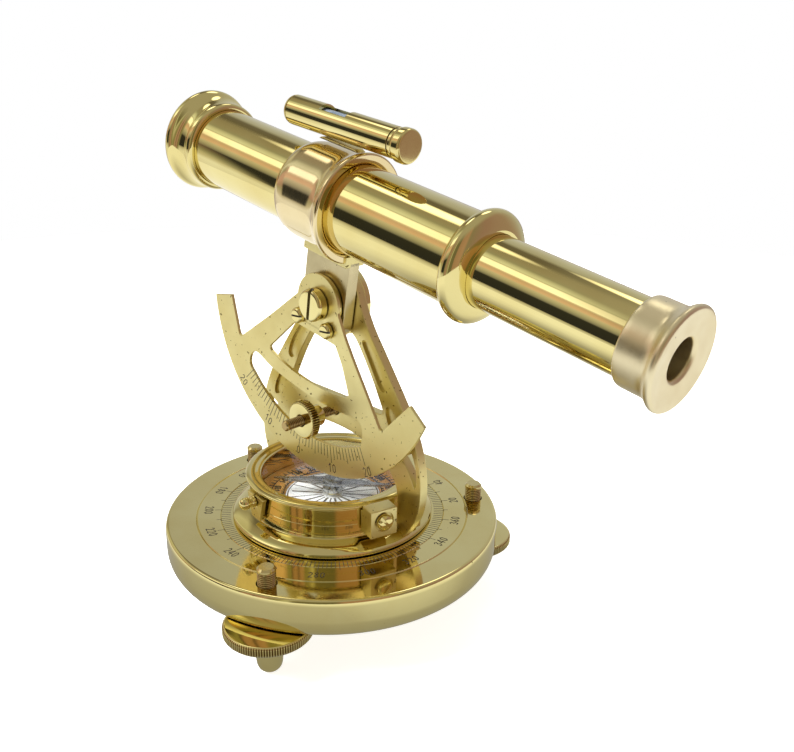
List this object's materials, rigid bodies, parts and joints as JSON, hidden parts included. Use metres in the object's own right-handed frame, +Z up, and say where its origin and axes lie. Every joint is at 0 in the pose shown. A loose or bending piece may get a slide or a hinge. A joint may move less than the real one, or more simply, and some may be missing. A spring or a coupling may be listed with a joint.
{
  "type": "theodolite",
  "caption": "Small brass theodolite: a tilting telescope with a spirit level and vertical arc on a flat A-frame over a compass, on a round graduated base with levelling screws.",
  "frame": {"origin": "centre of the flat pad under the base plate, on the vertical axis the upper part turns about", "axes": "+X towards the eyepiece end of the telescope, +Z up along the vertical axis, the vertical arc and its clamp on the -Y side of the frame"},
  "size_m": [0.178, 0.1071, 0.1555],
  "materials": {
    "polished_brass": "polished, lacquered brass with fine turning and rubbing marks",
    "copper_dial": "satin copper-coloured scale ring",
    "white_card": "matt white card with thin black rays",
    "needle_steel": "grey steel, satin",
    "clear_glass": "clear polished glass",
    "level_vial": "glass tube with dark grey-blue liquid"
  },
  "bodies": {
    "base": {"base_plate": "polished_brass"},
    "alidade": {"azimuth_spindle": "polished_brass", "compass_housing": "polished_brass", "compass_bezel": "polished_brass", "compass_glass": "clear_glass", "dial_ring": "copper_dial", "dial_card": "white_card", "needle_pin": "polished_brass", "lug_right": "polished_brass", "lug_screw": "polished_brass", "lug_left": "polished_brass", "lug_pin": "polished_brass", "frame": "polished_brass", "foot_screw_left": "polished_brass", "foot_screw_right": "polished_brass", "clamp_stud": "polished_brass", "pivot_screw": "polished_brass", "pivot_nut": "polished_brass"},
    "needle": {"compass_needle": "needle_steel", "needle_cap": "needle_steel"},
    "telescope": {"collar": "polished_brass", "front_tube": "polished_brass", "main_tube": "polished_brass", "objective_ring": "polished_brass", "objective_lens": "clear_glass", "tube_end_ring": "polished_brass", "level_saddle": "polished_brass", "level_tube": "polished_brass", "level_plug": "polished_brass", "level_cap": "polished_brass", "level_vial": "level_vial", "sector_arc": "polished_brass", "sector_screw_left": "polished_brass", "sector_screw_right": "polished_brass"},
    "draw": {"draw_tube": "polished_brass", "eyepiece_cap": "polished_brass", "eyepiece_lens": "clear_glass"},
    "clamp": {"clamp_nut": "polished_brass"},
    "foot_a": {"levelling_foot_a": "polished_brass"},
    "screw_a": {"levelling_wheel_a": "polished_brass", "levelling_stud_a": "polished_brass"},
    "foot_b": {"levelling_foot_b": "polished_brass"},
    "screw_b": {"levelling_wheel_b": "polished_brass", "levelling_stud_b": "polished_brass"},
    "foot_c": {"levelling_foot_c": "polished_brass"},
    "screw_c": {"levelling_wheel_c": "polished_brass", "levelling_stud_c": "polished_brass"}
  },
  "joints": [
    {"name": "azimuth_turn", "type": "hinge", "parent": "base", "child": "alidade", "pos_m": [0, 0, 0.0136], "axis": [0, 0, 1], "continuous": true},
    {"name": "telescope_tilt", "type": "hinge", "parent": "alidade", "child": "telescope", "pos_m": [0, 0, 0.0822], "axis": [0, -1, 0], "range_deg": [-15, 35]},
    {"name": "draw_slide", "type": "slide", "parent": "telescope", "child": "draw", "axis": [0.9847, 0, -0.1742], "range_m": [-0.041, 0.014]},
    {"name": "needle_swing", "type": "hinge", "parent": "alidade", "child": "needle", "pos_m": [0, 0, 0.0224], "axis": [0, 0, 1], "continuous": true},
    {"name": "clamp_turn", "type": "hinge", "parent": "alidade", "child": "clamp", "pos_m": [0, -0.0108, 0.0473], "axis": [0, 1, 0], "continuous": true},
    {"name": "levelling_travel_a", "type": "slide", "parent": "base", "child": "foot_a", "axis": [0, 0, -1], "range_m": [0, 0.004]},
    {"name": "levelling_turn_a", "type": "hinge", "parent": "foot_a", "child": "screw_a", "pos_m": [0.01989, -0.0417, -0.0008], "axis": [0, 0, -1], "range_deg": [0, 1440]},
    {"name": "levelling_travel_b", "type": "slide", "parent": "base", "child": "foot_b", "axis": [0, 0, -1], "range_m": [0, 0.004]},
    {"name": "levelling_turn_b", "type": "hinge", "parent": "foot_b", "child": "screw_b", "pos_m": [0.02617, 0.03807, -0.0008], "axis": [0, 0, -1], "range_deg": [0, 1440]},
    {"name": "levelling_travel_c", "type": "slide", "parent": "base", "child": "foot_c", "axis": [0, 0, -1], "range_m": [0, 0.004]},
    {"name": "levelling_turn_c", "type": "hinge", "parent": "foot_c", "child": "screw_c", "pos_m": [-0.04606, 0.00362, -0.0008], "axis": [0, 0, -1], "range_deg": [0, 1440]}
  ],
  "couplings": [
    {"joint": "levelling_travel_a", "follows": "levelling_turn_a", "m_per_rad": 0.00015915},
    {"joint": "levelling_travel_b", "follows": "levelling_turn_b", "m_per_rad": 0.00015915},
    {"joint": "levelling_travel_c", "follows": "levelling_turn_c", "m_per_rad": 0.00015915}
  ]
}
